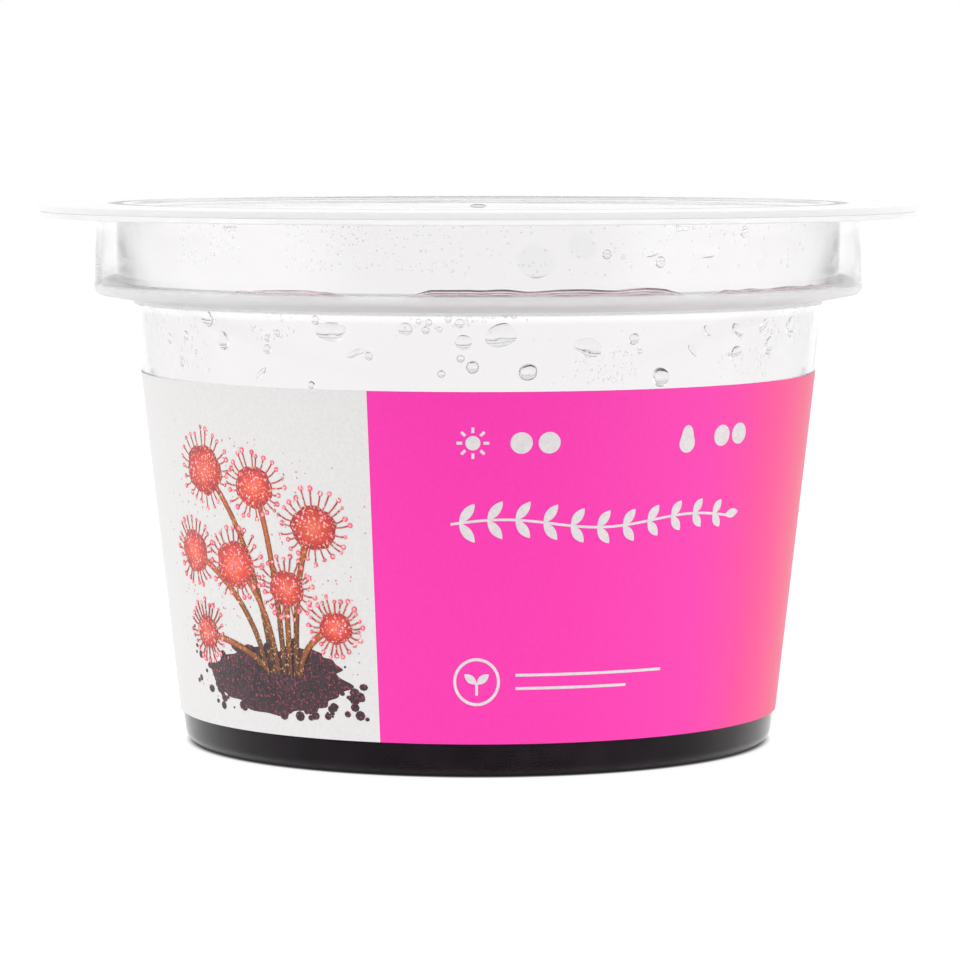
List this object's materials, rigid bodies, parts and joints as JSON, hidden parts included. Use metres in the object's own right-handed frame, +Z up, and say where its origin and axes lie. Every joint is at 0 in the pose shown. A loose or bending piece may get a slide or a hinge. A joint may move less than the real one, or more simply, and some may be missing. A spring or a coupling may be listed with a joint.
{
  "type": "lidded sundew plant culture cup",
  "caption": "Clear tapered cup with a wide flange, plug lid and wrap-round printed label, holding dark culture gel and small sundew rosettes.",
  "frame": {"origin": "centre of the flat ring that the cup stands on", "axes": "+Z up through the lid; -Y towards the front, where the label's picture and main field show; +X to the right seen from the front"},
  "size_m": [0.11, 0.11, 0.0672],
  "materials": {
    "clear_plastic": "clear, glossy, faintly hazy",
    "printed_label": "satin printed film, pale grey and pink fields",
    "dark_gel": "wet, glossy, near black",
    "sundew_leaf": "green turning red, with shiny drops"
  },
  "bodies": {
    "root": {"cup": "clear_plastic", "lid": "clear_plastic", "label": "printed_label", "growing_medium": "dark_gel", "sundew_1": "sundew_leaf", "sundew_2": "sundew_leaf", "sundew_3": "sundew_leaf", "sundew_4": "sundew_leaf", "sundew_5": "sundew_leaf", "sundew_6": "sundew_leaf"}
  },
  "joints": []
}
